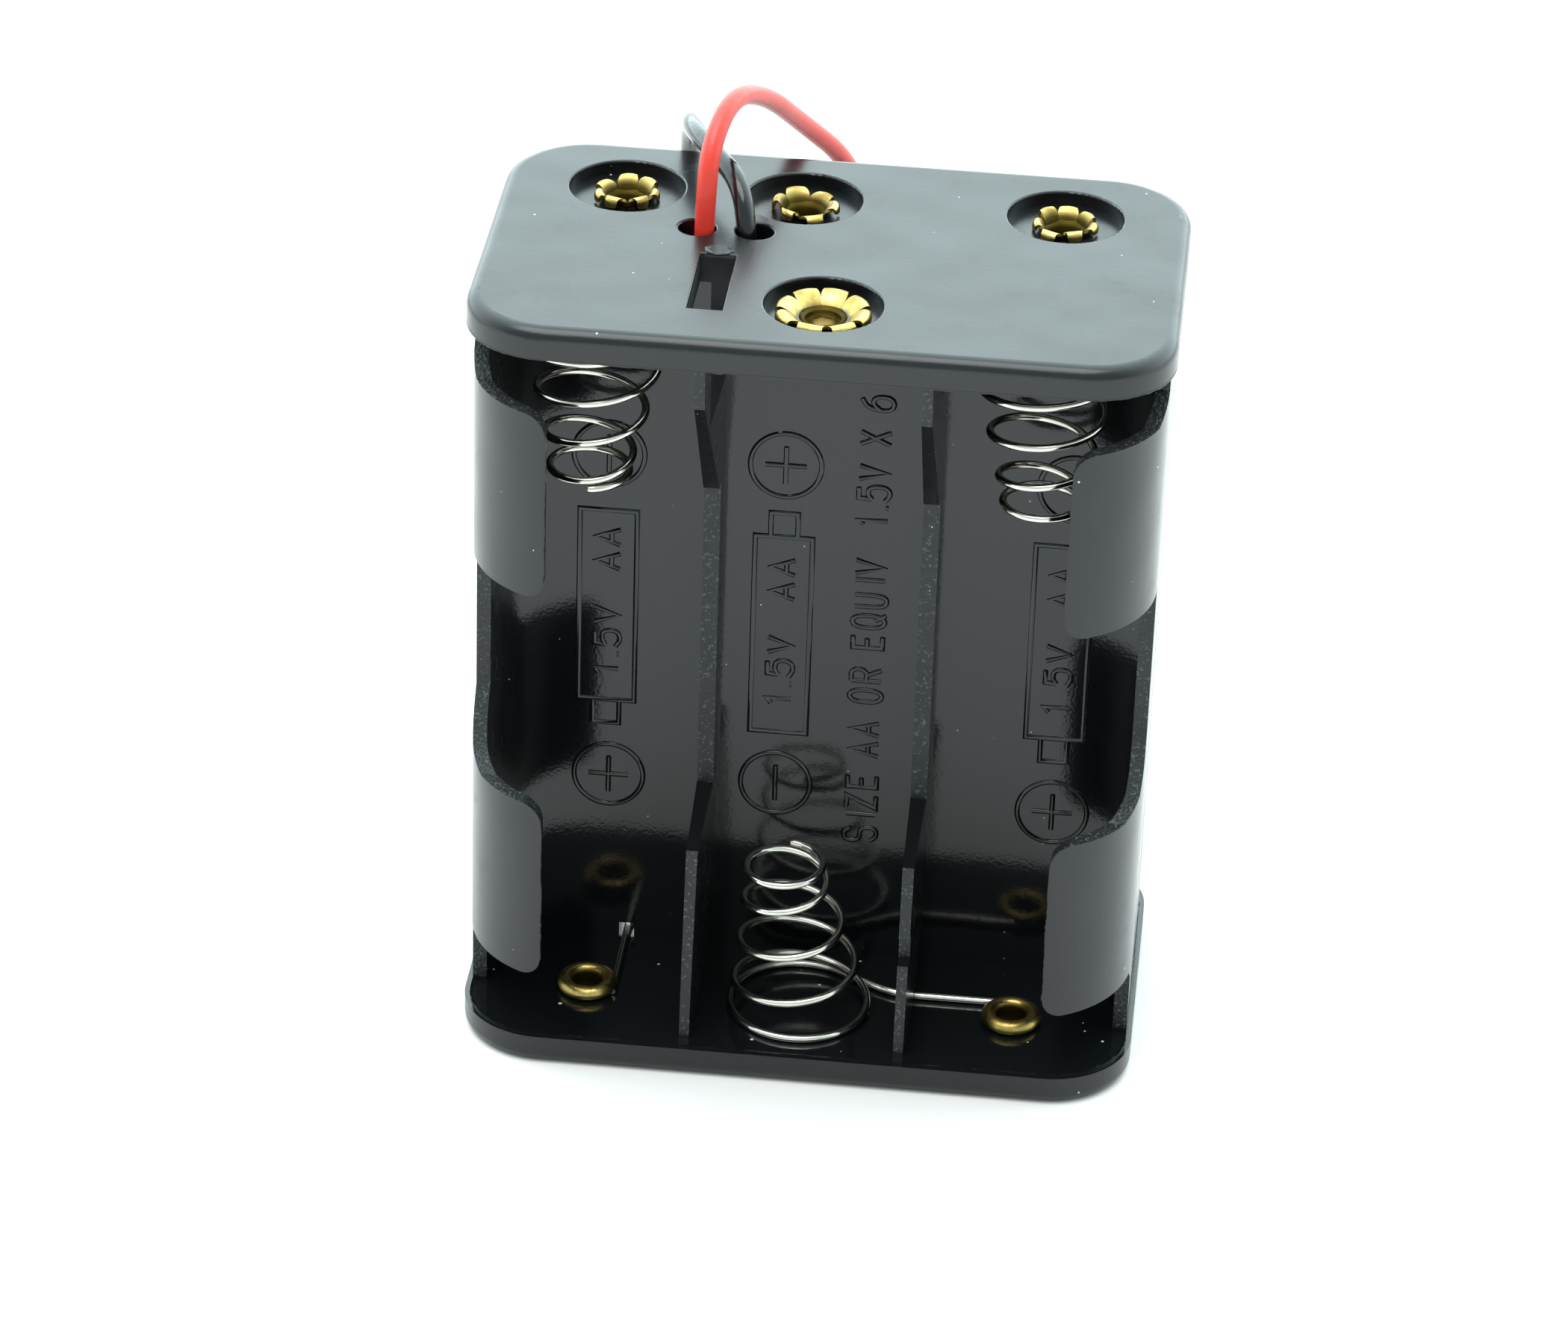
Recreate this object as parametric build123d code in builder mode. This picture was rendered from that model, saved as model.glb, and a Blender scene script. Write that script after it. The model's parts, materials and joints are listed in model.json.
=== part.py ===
"""Holder for six AA cells, three on the front and three on the rear.

The holder stands on one end plate: X runs across the three cells, Y from the
front (negative) to the rear, Z up along the cells. Millimetres throughout.
"""

import os
from math import acos, atan, cos, degrees, pi, radians, sin, tan

from build123d import *

os.makedirs("parts", exist_ok=True)

# ---------------------------------------------------------------- moulding
height = 58.5
cell_pitch = 15.3
cell_offset = 8.0
bay_radius = 7.3
wall_thickness = 1.0
finger_wrap = 73.0
web_thickness = 1.6
rib_root = 1.3
rib_tip = 0.7
plate_thickness = 2.2
plate_corner = 6.0
plate_edge = 0.9
plate_overhang = 0.4
plate_inset = 0.3
inner_height = height - 2 * plate_thickness
ceiling = height - plate_thickness
wall_radius = bay_radius + wall_thickness
finger_end = cell_pitch + wall_radius * cos(radians(finger_wrap))
plate_width = 2 * (cell_pitch + wall_radius + plate_overhang)
plate_depth = 2 * (cell_offset + bay_radius - plate_inset)

# Retaining fingers: they wrap round the outer cells from the side walls.
finger_length = 14.0
finger_corner = 1.5
lower_finger_start = plate_thickness + 5.7
lower_finger_end = lower_finger_start + finger_length
upper_finger_end = ceiling - 3.9
upper_finger_start = upper_finger_end - finger_length
cut_reach = cell_offset + wall_radius + 2.0

# Where a finger's edge runs back into the wall: (past the cells' line, up or down).
window_steps = [(4.0, 0.0), (1.6, 0.9), (-1.0, 4.5)]
upper_gap_steps = [(2.8, 0.0), (0.2, 1.6)]
lower_gap_steps = [(1.2, 0.0), (0.2, -1.0)]

# Ribs between the bays: tall near both plates, low along the middle.
rib_foot_reach = plate_depth / 2 - 1.4
rib_shelf_reach = cell_offset + 3.0
rib_low_reach = web_thickness / 2 + 2.4
rib_foot_height = plate_thickness + 5.0
rib_shelf_height = plate_thickness + 14.1
rib_slope_start = ceiling - 14.7
rib_slope_end = ceiling - 3.8
rib_step = 0.8
rib_slope_inset = 0.4
rib_rise = 1.0
rib_nick_start = 9.0
rib_nick_end = 11.0
rib_nick_depth = 2.4

# Small radii on the edges that are handled: wells, lead holes and slot.
well_rim = 0.15
hole_rim = 0.2
slot_rim = 0.1

# ------------------------------------------------- eyelets, springs, leads
wire = 0.55
wire_gap = 0.02
well_radius = 4.05
well_depth = 1.0
barrel_radius = 1.6
barrel_bore = 1.1
barrel_clearance = 0.05
flange_radius = 2.15
flange_thickness = 0.5
flange_lip = 0.25
petal_slot = 0.35
petal_curl = 0.6
petal_lip = 0.2
well_floor = plate_thickness - well_depth

spring_height = 12.2
spring_base = 4.95
spring_tip = 2.75
spring_turns = 3.6
base_turn = 290.0
tail_angle = 60.0
tail_bend = 2.0
tail_overrun = 0.8
tip_gap = 0.05
link_passage = 2 * wire
tail_lane = barrel_radius + wire / 2 + barrel_clearance

lead_diameter = 1.4
lead_hole_radius = 1.3
lead_hole_depth = 2.3
red_hole = -cell_pitch / 2 - 2.1
black_hole = -cell_pitch / 2 + 1.9
red_lead_shift = 0.48
black_lead_shift = -0.47
lead_sink = 0.3
strand_diameter = 0.6
far_strip = 4.0
bare_bend = 0.6
bare_drop = 1.2
solder_radius = 0.62
solder_gap = 0.02
slot_width = 2.45
slot_start = web_thickness / 2 + 0.85
slot_end = cell_offset + 2.05
slot_offset = -0.18
slot_relief = 3.0
terminal_gap = 0.175
terminal_x = -(spring_base - wire / 2 - barrel_radius - terminal_gap)

# Where each metal piece stands: (name, X, Y, on the top plate).
eyelets = [
    ("front_middle_eyelet", 0.0, -cell_offset, True, 3.25, 8),
    ("rear_left_eyelet", -cell_pitch, cell_offset, True, 2.25, 7),
    ("rear_right_eyelet", cell_pitch, cell_offset, True, 2.25, 7),
    ("negative_terminal_eyelet", terminal_x, cell_offset, True, 2.25, 6),
    ("front_left_eyelet", -cell_pitch, -cell_offset, False, 2.25, 6),
    ("front_right_eyelet", cell_pitch, -cell_offset, False, 2.25, 6),
    ("rear_middle_eyelet", 0.0, cell_offset, False, 2.25, 6),
]
# (name, X, Y, on the top plate, heading of its tail, distance to its eyelet)
across = cell_pitch + tail_overrun
through = 2 * cell_offset + tail_overrun
springs = [
    ("front_middle", 0.0, -cell_offset, False, 0.0, across),
    ("rear_right", cell_pitch, cell_offset, False, 180.0, across),
    ("rear_left", -cell_pitch, cell_offset, False, -90.0, through),
    ("front_left", -cell_pitch, -cell_offset, True, 0.0, across),
    ("front_right", cell_pitch, -cell_offset, True, 90.0, through),
    ("rear_middle", 0.0, cell_offset, True, 125.0, 0.0),
]


def seat_plane(x, y, on_top, heading=0.0):
    """Plane on the inner face of an end plate, its Z pointing into the holder."""
    level, inward = (ceiling, -1) if on_top else (plate_thickness, 1)
    along = (cos(radians(heading)), sin(radians(heading)), 0)
    return Plane(origin=(x, y, level), x_dir=along, z_dir=(0, 0, inward))


def save(part, name):
    """Label a finished piece and write it as its own STEP file."""
    part.label = name
    export_step(part, f"parts/{name}.step")


def wall_section():
    """Outline of the right side wall with a finger curling in at both ends."""
    # A finger's end face is square to the plates' long edges.
    inner_wrap = degrees(acos(wall_radius * cos(radians(finger_wrap)) / bay_radius))
    for radius, wrap in ((wall_radius, finger_wrap), (bay_radius, inner_wrap)):
        CenterArc((cell_pitch, -cell_offset), radius, -wrap, wrap)
        Line((cell_pitch + radius, -cell_offset), (cell_pitch + radius, cell_offset))
        CenterArc((cell_pitch, cell_offset), radius, 0, wrap)
    for side in (-1, 1):
        Line(
            (finger_end, side * (cell_offset + bay_radius * sin(radians(inner_wrap)))),
            (finger_end, side * (cell_offset + wall_radius * sin(radians(finger_wrap)))),
        )


# One moulding: side walls with fingers, web, ribs and both end plates.
with BuildPart() as moulding:
    with BuildSketch(Plane.XY.offset(plate_thickness)):
        with BuildLine():
            wall_section()
        make_face()
        mirror(about=Plane.YZ)
    extrude(amount=inner_height)

    # Openings between and beyond the fingers, seen from the side.
    with BuildSketch(Plane.YZ.offset(-plate_width / 2)):
        with BuildLine():
            Polyline(
                (cut_reach, lower_finger_end),
                *((cell_offset + past, lower_finger_end + up) for past, up in window_steps),
                (cell_offset + window_steps[-1][0], upper_finger_start),
                (cut_reach, upper_finger_start),
                close=True,
            )
        make_face()
        with BuildLine():
            Polyline(
                (cut_reach, upper_finger_end),
                *((cell_offset + past, upper_finger_end + up) for past, up in upper_gap_steps),
                (cell_offset + upper_gap_steps[-1][0], ceiling),
                (cut_reach, ceiling),
                close=True,
            )
        make_face()
        with BuildLine():
            Polyline(
                (cut_reach, lower_finger_start),
                *((cell_offset + past, lower_finger_start + up) for past, up in lower_gap_steps),
                (cell_offset + lower_gap_steps[-1][0], plate_thickness),
                (cut_reach, plate_thickness),
                close=True,
            )
        make_face()
        mirror(about=Plane.YZ)
    extrude(amount=plate_width, mode=Mode.SUBTRACT)

    # Rounded corners on the free ends of the eight fingers.
    free_ends = moulding.edges().filter_by(
        lambda e: abs(e.length - wall_thickness) < 0.2 * wall_thickness
        and abs(abs(e.center().X) - finger_end) < 0.001
        and abs(e.tangent_at(0.5).Z) < 0.01
    )
    fillet(free_ends, finger_corner)

    # Web down the middle, between the front and rear cells.
    with BuildSketch(Plane.XY.offset(plate_thickness)):
        Rectangle(2 * (cell_pitch + bay_radius) + wall_thickness, web_thickness)
    extrude(amount=inner_height)

    # Four ribs, two on each face, thinner towards their free edge.
    for side in (-1, 1):
        with BuildPart() as rib:
            with BuildSketch(Plane.YZ.offset(side * cell_pitch / 2 - rib_root / 2)):
                with BuildLine():
                    Polyline(
                        (0, plate_thickness),
                        (rib_foot_reach, plate_thickness),
                        (rib_foot_reach - rib_step, rib_foot_height),
                        (rib_shelf_reach, rib_shelf_height),
                        (rib_low_reach, rib_shelf_height + rib_rise),
                        (rib_low_reach, rib_slope_start),
                        (rib_low_reach + rib_step, rib_slope_start),
                        (rib_foot_reach - rib_slope_inset, rib_slope_end),
                        (rib_foot_reach, ceiling),
                        (0, ceiling),
                        close=True,
                    )
                make_face()
                mirror(about=Plane.YZ)
            extrude(amount=rib_root)
            with BuildSketch(Plane.XY.offset(plate_thickness)):
                with Locations((side * cell_pitch / 2, 0)):
                    Polygon(
                        (-rib_root / 2, 0),
                        (-rib_tip / 2, -rib_foot_reach),
                        (rib_tip / 2, -rib_foot_reach),
                        (rib_root / 2, 0),
                        (rib_tip / 2, rib_foot_reach),
                        (-rib_tip / 2, rib_foot_reach),
                        align=None,
                    )
            extrude(amount=inner_height, mode=Mode.INTERSECT)
        add(rib.part)

    # End plates, rounded along the outer edge.
    for level, outer in ((0, 0), (ceiling, -1)):
        with BuildPart() as plate:
            with BuildSketch(Plane.XY.offset(level)):
                RectangleRounded(plate_width, plate_depth, plate_corner)
            extrude(amount=plate_thickness)
            fillet(plate.edges().group_by(Axis.Z)[outer], plate_edge)

    # Wells and rivet holes under the eyelets, each from the outside.
    for _, x, y, on_top, _, _ in eyelets:
        seat = seat_plane(x, y, on_top)
        with BuildSketch(seat.offset(-plate_thickness)):
            Circle(well_radius)
        extrude(amount=well_depth, mode=Mode.SUBTRACT)
        with BuildSketch(seat.offset(-plate_thickness)):
            Circle(barrel_radius + barrel_clearance)
        extrude(amount=plate_thickness, mode=Mode.SUBTRACT)

    # Passages that the spring tails take through a rib or the web.
    for _, x, y, on_top, heading, reach in springs:
        if reach:
            seat = seat_plane(x, y, on_top, heading)
            with BuildSketch(seat):
                with Locations(((reach - tail_overrun) / 2, tail_lane)):
                    Rectangle(web_thickness + 1, link_passage)
            extrude(amount=link_passage, mode=Mode.SUBTRACT)

    # Nick in the front edge of the right rib.
    with BuildSketch(Plane.YZ.offset(cell_pitch / 2 - rib_root)):
        with Locations((-rib_foot_reach, (rib_nick_start + rib_nick_end) / 2)):
            Rectangle(2 * rib_nick_depth, rib_nick_end - rib_nick_start)
    extrude(amount=2 * rib_root, mode=Mode.SUBTRACT)

    # Lead holes through the top plate.
    with BuildSketch(Plane.XY.offset(height)):
        with Locations((red_hole, lead_hole_depth), (black_hole, lead_hole_depth)):
            Circle(lead_hole_radius)
    extrude(amount=-plate_thickness, mode=Mode.SUBTRACT)

    # Slot through the top plate and into the left rib below it.
    with BuildSketch(Plane.XY.offset(height)):
        with Locations((slot_offset - cell_pitch / 2, -(slot_start + slot_end) / 2)):
            Rectangle(slot_width, slot_end - slot_start)
    extrude(amount=-(plate_thickness + slot_relief), mode=Mode.SUBTRACT)

    # Softened rims of the wells, the lead holes and the slot.
    outer_edges = moulding.edges().filter_by(
        lambda e: min(abs(e.center().Z), abs(e.center().Z - height)) < 0.001
    )
    round_edges = outer_edges.filter_by(GeomType.CIRCLE)
    fillet(round_edges.filter_by(lambda e: abs(e.radius - well_radius) < 0.001), well_rim)
    fillet(round_edges.filter_by(lambda e: abs(e.radius - lead_hole_radius) < 0.001), hole_rim)
    slot_edges = outer_edges.filter_by(GeomType.LINE).filter_by(
        lambda e: abs(e.center().Y + (slot_start + slot_end) / 2) < slot_end - slot_start
        and abs(e.center().X - slot_offset + cell_pitch / 2) < slot_width
    )
    fillet(slot_edges, slot_rim)
save(moulding.part, "holder_moulding")


# Eyelets: a barrel through the plate, a flange inside, petals in the well.
flange_seat = wire + 2 * wire_gap
flange_top = flange_seat + flange_thickness
for name, x, y, on_top, petal_radius, petals in eyelets:
    seat = seat_plane(x, y, on_top)
    with BuildPart() as eyelet:
        with BuildSketch(Plane(origin=seat.origin, x_dir=seat.x_dir, z_dir=-seat.y_dir)):
            with BuildLine():
                Polyline(
                    (barrel_bore, flange_top - flange_lip),
                    (barrel_bore + flange_lip, flange_top),
                    (flange_radius - flange_lip, flange_top),
                    (flange_radius, flange_seat + flange_thickness / 2),
                    (flange_radius - flange_lip / 2, flange_seat),
                    (barrel_radius, flange_seat),
                    (barrel_radius, -well_floor),
                    (petal_radius - petal_lip, -well_floor),
                    (petal_radius, -well_floor - petal_lip),
                    (petal_radius - 2 * petal_lip, -well_floor - petal_curl),
                    (barrel_radius - petal_lip / 4, -well_floor - petal_lip),
                    (barrel_bore, -well_floor + 2 * petal_lip),
                    close=True,
                )
            make_face()
        revolve(axis=Axis(seat.origin, seat.z_dir))
        with BuildSketch(seat.offset(-plate_thickness)):
            with PolarLocations(barrel_radius + petal_radius / 2, petals):
                Rectangle(petal_radius, petal_slot)
        extrude(amount=well_depth, mode=Mode.SUBTRACT)
    save(eyelet.part, name)

# Springs: a flat base turn with its tail, a conical coil and a closed tip turn.
ring_height = wire / 2 + wire_gap
tip_height = spring_height - wire / 2
coil_rise = tip_height - ring_height - wire - tip_gap
coil_taper = atan((spring_base - spring_tip) / coil_rise)
tail_start = (spring_base * cos(radians(tail_angle)), spring_base * sin(radians(tail_angle)))
tail_knee = tail_start[0] + (tail_start[1] - tail_lane) / tan(radians(90 - tail_angle))
for name, x, y, on_top, heading, reach in springs:
    seat = seat_plane(x, y, on_top, heading)
    with BuildPart() as coil:
        with BuildLine(seat.offset(ring_height)) as base_line:
            if reach:
                FilletPolyline((reach, tail_lane), (tail_knee, tail_lane), tail_start, radius=tail_bend)
            CenterArc((0, 0), spring_base, tail_angle, base_turn)
        base_path = base_line.wires()[0]
        with BuildSketch(Plane(origin=base_path @ 0, z_dir=base_path % 0)):
            Circle(wire / 2)
        sweep(path=base_path)
        turned = seat.offset(ring_height).rotated((0, 0, tail_angle + base_turn))
        coil_path = Helix(
            pitch=coil_rise / spring_turns / cos(coil_taper),
            height=coil_rise,
            radius=spring_base,
            cone_angle=-degrees(coil_taper),
            mode=Mode.PRIVATE,
        ).moved(turned.location)
        with BuildSketch(Plane(origin=coil_path @ 0, z_dir=coil_path % 0)):
            Circle(wire / 2)
        sweep(path=coil_path, is_frenet=True)
    save(coil.part, f"{name}_spring_coil")
    with BuildPart(seat.offset(tip_height)) as tip:
        Torus(spring_tip, wire / 2)
    save(tip.part, f"{name}_spring_tip")

# Leads: insulated from just inside the lead hole to their far ends.
lead_start = ceiling - lead_sink
red_points = [
    (red_hole + red_lead_shift, lead_hole_depth, lead_start),
    (-9.25, 2.35, 60.1),
    (-9.1, 3.5, 64.2),
    (-8.0, 7.7, 66.2),
    (-6.2, 13.0, 63.8),
    (-4.2, 18.2, 59.5),
    (-1.0, 22.8, 54.6),
    (0.6, 25.2, 47.8),
    (0.2, 26.0, 39.0),
    (0.2, 26.4, 28.5),
    (0.6, 27.2, 18.2),
    (1.8, 29.4, 9.4),
    (4.8, 32.2, 3.0),
    (9.2, 35.6, 0.72),
    (12.6, 40.6, 0.72),
    (9.4, 45.8, 0.72),
    (2.6, 47.2, 0.72),
    (-5.4, 45.6, 0.72),
    (-13.0, 42.4, 0.72),
]
black_points = [
    (black_hole + black_lead_shift, lead_hole_depth, lead_start),
    (-6.3, 2.4, 59.0),
    (-7.2, 4.4, 61.3),
    (-9.2, 7.7, 61.6),
    (-11.3, 12.2, 61.3),
    (-12.0, 17.4, 59.6),
    (-12.4, 21.4, 54.7),
    (-12.8, 23.8, 46.6),
    (-13.0, 25.2, 37.0),
    (-13.3, 26.0, 27.0),
    (-14.0, 27.6, 17.4),
    (-15.8, 30.8, 9.2),
    (-18.6, 35.6, 3.4),
    (-21.4, 41.8, 0.72),
    (-20.0, 48.6, 0.72),
    (-13.2, 51.8, 0.72),
    (-4.4, 52.0, 0.72),
    (4.2, 51.2, 0.72),
    (11.8, 51.4, 0.72),
]
# Bare ends inside: down from the insulation, then across under the eyelet's flange.
joint_height = ceiling - flange_top - strand_diameter / 2 - solder_gap
joint_reach = (barrel_bore + flange_radius) / 2 * cos(radians(45))
leads = [
    ("red", red_points, -cell_pitch + joint_reach),
    ("black", black_points, terminal_x - joint_reach),
]


def corner_radii(points):
    """Largest even radius at each corner: 0.45 of the shorter run over tan(turn / 2)."""
    runs = [Vector(*b) - Vector(*a) for a, b in zip(points, points[1:])]
    return [
        0.45 * min(a.length, b.length) / tan(radians(a.get_angle(b)) / 2)
        for a, b in zip(runs, runs[1:])
    ]


for colour, points, joint_x in leads:
    radii = corner_radii(points)
    knee = (points[0][0], lead_hole_depth, lead_start - bare_drop)
    bare_points = [points[0], knee, (joint_x, cell_offset - joint_reach, joint_height)]
    with BuildPart() as lead:
        with BuildLine() as lead_line:
            FilletPolyline(*points, radius=radii)
        lead_path = lead_line.wires()[0]
        with BuildSketch(Plane(origin=lead_path @ 0, z_dir=lead_path % 0)):
            Circle(lead_diameter / 2)
        sweep(path=lead_path)
    save(lead.part, f"{colour}_lead")
    section = pi * (lead_diameter / 2) ** 2
    print(colour, "lead length", round(lead_path.length, 1), "arc radii",
          [round(radius, 1) for radius in radii],
          "volume over section x length", round(lead.part.volume / section / lead_path.length, 4))

    # Bare strands at the far end, in line with the insulation.
    with BuildPart() as far_end:
        with BuildSketch(Plane(origin=lead_path @ 1, z_dir=lead_path % 1)):
            Circle(strand_diameter / 2)
        extrude(amount=far_strip)
    save(far_end.part, f"{colour}_lead_strands")

    with BuildPart() as bare:
        with BuildLine() as bare_line:
            FilletPolyline(*bare_points, radius=bare_bend)
        bare_path = bare_line.wires()[0]
        with BuildSketch(Plane(origin=bare_path @ 0, z_dir=bare_path % 0)):
            Circle(strand_diameter / 2)
        sweep(path=bare_path)
    save(bare.part, f"{colour}_lead_bare_end")

    # Solder: half a ball hanging from the flange's face, with the bare end in it.
    with BuildPart() as solder:
        with Locations((joint_x, cell_offset - joint_reach, ceiling - flange_top)):
            Sphere(solder_radius, arc_size1=-90, arc_size2=0,
                   align=(Align.CENTER, Align.CENTER, Align.MAX))
        add(bare.part, mode=Mode.SUBTRACT)
    save(solder.part, f"{colour}_solder_joint")
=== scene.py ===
"""Holder for six AA cells, standing on its end: one black moulding with two end
plates, ribs and curled fingers, seven brass eyelets, six conical springs that
move when a cell goes in, and a red and a black lead.

Sizes are in millimetres until a mesh is made, and the frame is in metres.
"""

import json
import logging
from collections.abc import Callable
from dataclasses import dataclass
from enum import Enum
from functools import partial

import bpy
import numpy as np
from mathutils import Matrix, Vector

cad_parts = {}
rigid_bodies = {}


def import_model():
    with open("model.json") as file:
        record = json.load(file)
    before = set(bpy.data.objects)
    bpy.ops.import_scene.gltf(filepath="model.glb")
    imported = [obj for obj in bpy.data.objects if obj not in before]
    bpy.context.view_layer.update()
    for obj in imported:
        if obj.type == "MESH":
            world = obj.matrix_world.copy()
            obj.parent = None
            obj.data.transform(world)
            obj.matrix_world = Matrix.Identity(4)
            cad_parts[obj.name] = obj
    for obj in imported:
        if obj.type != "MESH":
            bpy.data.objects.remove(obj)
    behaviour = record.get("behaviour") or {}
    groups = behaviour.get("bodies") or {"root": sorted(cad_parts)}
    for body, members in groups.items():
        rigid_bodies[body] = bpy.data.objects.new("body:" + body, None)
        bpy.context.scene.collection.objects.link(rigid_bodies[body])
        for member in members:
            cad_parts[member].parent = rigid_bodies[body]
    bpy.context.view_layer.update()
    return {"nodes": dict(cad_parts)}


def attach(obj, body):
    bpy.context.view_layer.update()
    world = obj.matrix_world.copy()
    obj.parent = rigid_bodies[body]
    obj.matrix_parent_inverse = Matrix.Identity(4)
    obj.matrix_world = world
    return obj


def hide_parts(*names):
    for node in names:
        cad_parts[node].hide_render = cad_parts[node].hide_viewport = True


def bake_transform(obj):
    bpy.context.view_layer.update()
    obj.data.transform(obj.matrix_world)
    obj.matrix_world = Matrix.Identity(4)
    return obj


for leftover in list(bpy.data.objects):
    bpy.data.objects.remove(leftover)
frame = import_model()

logging.basicConfig(level=logging.INFO, format="%(message)s")
log = logging.getLogger("battery_holder")

MM = 0.001
BODY = "holder"

# Shared sizes of the moulding and its seats, millimetres.
HEIGHT = 58.5
PLATE = 2.2
CEILING = HEIGHT - PLATE
PITCH = 15.3
OFFSET = 8.0
WELL_FLOOR = 1.2
WEB_FACE = -0.8


# ------------------------------------------------------------------ helpers
def colour_of(code: str) -> tuple[float, float, float, float]:
    """Turn an sRGB hex colour into linear light.

    Args:
        code: Six hex digits, such as "1a1b1d".

    Returns:
        Red, green, blue and alpha for a shader socket.
    """
    parts = np.array([int(code[i : i + 2], 16) for i in (0, 2, 4)]) / 255.0
    linear = np.where(parts <= 0.04045, parts / 12.92, ((parts + 0.055) / 1.055) ** 2.4)
    return (*(float(x) for x in linear), 1.0)


def per_metre(size: float) -> float:
    """Texture scale that repeats once in a size given in millimetres."""
    return 1.0 / (size * MM)


def add_node(tree: bpy.types.NodeTree, kind: str, inputs: dict | None = None,
             **settings: object) -> bpy.types.Node:
    """Add a shader node, set what it is told and link what is linked.

    Args:
        tree: The node tree that the node joins.
        kind: The node's Blender type, without its leading "ShaderNode".
        inputs: Its sockets by name or number, each a value, the socket it reads,
            or the node whose first output it reads.
        settings: Properties of the node by name.

    Returns:
        The new node.
    """
    node = tree.nodes.new("ShaderNode" + kind)
    for name, value in settings.items():
        setattr(node, name, value)
    for name, value in (inputs or {}).items():
        if isinstance(value, bpy.types.Node):
            value = value.outputs[0]
        if isinstance(value, bpy.types.NodeSocket):
            tree.links.new(value, node.inputs[name])
        else:
            node.inputs[name].default_value = value
    return node


def start_material(name: str) -> tuple[bpy.types.Material, Callable]:
    """Make an empty node material.

    Args:
        name: The finish's name.

    Returns:
        The material, and add_node for its cleared tree.
    """
    material = bpy.data.materials.new(name)
    material.use_nodes = True
    material.node_tree.nodes.clear()
    return material, partial(add_node, material.node_tree)


def in_scene(name: str, data: bpy.types.ID) -> bpy.types.Object:
    """Make an object at the origin that shows a mesh, curve, light or camera.

    Args:
        name: The object's name.
        data: What it shows.

    Returns:
        The object, linked into the scene.
    """
    piece = bpy.data.objects.new(name, data)
    bpy.context.scene.collection.objects.link(piece)
    return piece


def loft(rows: np.ndarray, ring: bool = False) -> tuple[np.ndarray, list]:
    """Skin a stack of closed loops.

    Neighbouring loops are joined by quads, so a point (i, j) meets (i+1, j) and
    (i, j+1), with j running round. The first and last loops are capped, or
    joined to each other when ring is true.

    Args:
        rows: Points as loops x points x 3, millimetres.
        ring: Whether the last loop meets the first.

    Returns:
        The points as a flat array and the faces.
    """
    loops, count = rows.shape[:2]
    i = np.arange(loops if ring else loops - 1)[:, None]
    j = np.arange(count)[None, :]
    following, across = (i + 1) % loops, (j + 1) % count
    quads = np.stack([i * count + j, i * count + across,
                      following * count + across, following * count + j], -1)
    faces = quads.reshape(-1, 4).tolist()
    if not ring:
        faces.append(list(range(count))[::-1])
        faces.append(list(range((loops - 1) * count, loops * count)))
    return rows.reshape(-1, 3), faces


def piece_from(name: str, shells: list, material: bpy.types.Material,
               sharp: float = 40.0) -> bpy.types.Object:
    """Put one or more shells into a mesh object at the origin.

    Args:
        name: The object's name.
        shells: Pairs of points in millimetres and faces.
        material: Its finish.
        sharp: The angle, in degrees, above which an edge stays crisp.

    Returns:
        The object, with its place in its mesh and its faces outward.
    """
    points = np.concatenate([shell[0] for shell in shells]) * MM
    starts = np.cumsum([0] + [len(shell[0]) for shell in shells])
    faces = [[int(start) + k for k in face]
             for start, shell in zip(starts, shells) for face in shell[1]]
    mesh = bpy.data.meshes.new(name)
    mesh.from_pydata(points.tolist(), [], faces)
    mesh.validate()
    mesh.materials.append(material)
    mesh.shade_smooth()
    mesh.set_sharp_from_angle(angle=float(np.radians(sharp)))
    return in_scene(name, mesh)


def tube(path: np.ndarray, radius: float | np.ndarray, beside: tuple, sides: int = 14,
         twist: np.ndarray | float = 0.0) -> tuple[np.ndarray, list]:
    """Carry a round section along a path.

    Each section point is the path's point plus the radius times the cosine of
    its angle along one side direction and the sine along the other. The side
    directions are at right angles to the path, the first nearest to level
    across the reference direction.

    Args:
        path: Centre points, millimetres.
        radius: One radius, or one for each point.
        beside: A reference direction that the path never runs along.
        sides: Points round the section.
        twist: Angle that turns each section, radians.

    Returns:
        The shell's points and faces.
    """
    along = np.gradient(path, axis=0)
    along /= np.linalg.norm(along, axis=1, keepdims=True)
    first = np.cross(np.array(beside, float), along)
    first /= np.linalg.norm(first, axis=1, keepdims=True)
    second = np.cross(along, first)
    turn = np.linspace(0, 2 * np.pi, sides, endpoint=False)[None, :, None]
    turn = turn + np.broadcast_to(twist, (len(path),))[:, None, None]
    size = np.broadcast_to(radius, (len(path),))[:, None, None]
    rows = path[:, None] + size * (np.cos(turn) * first[:, None] + np.sin(turn) * second[:, None])
    return loft(rows)


def seat_matrix(x: float, y: float, on_top: bool, heading: float = 0.0) -> np.ndarray:
    """Axes of a seat on the inner face of an end plate.

    Args:
        x: Place across the holder, millimetres.
        y: Place from front to rear.
        on_top: Whether the seat is under the top plate.
        heading: Direction of the seat's own X, degrees.

    Returns:
        A 4 x 3 array: the three axes, Z pointing into the holder, then the origin.
    """
    inward = np.array([0, 0, -1.0 if on_top else 1.0])
    across = np.array([np.cos(np.radians(heading)), np.sin(np.radians(heading)), 0])
    origin = np.array([x, y, CEILING if on_top else PLATE])
    return np.stack([across, np.cross(inward, across), inward, origin])


def to_seat(local: np.ndarray, seat: np.ndarray) -> np.ndarray:
    """Move points from a seat's own axes into the frame."""
    return local @ seat[:3] + seat[3]


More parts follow.
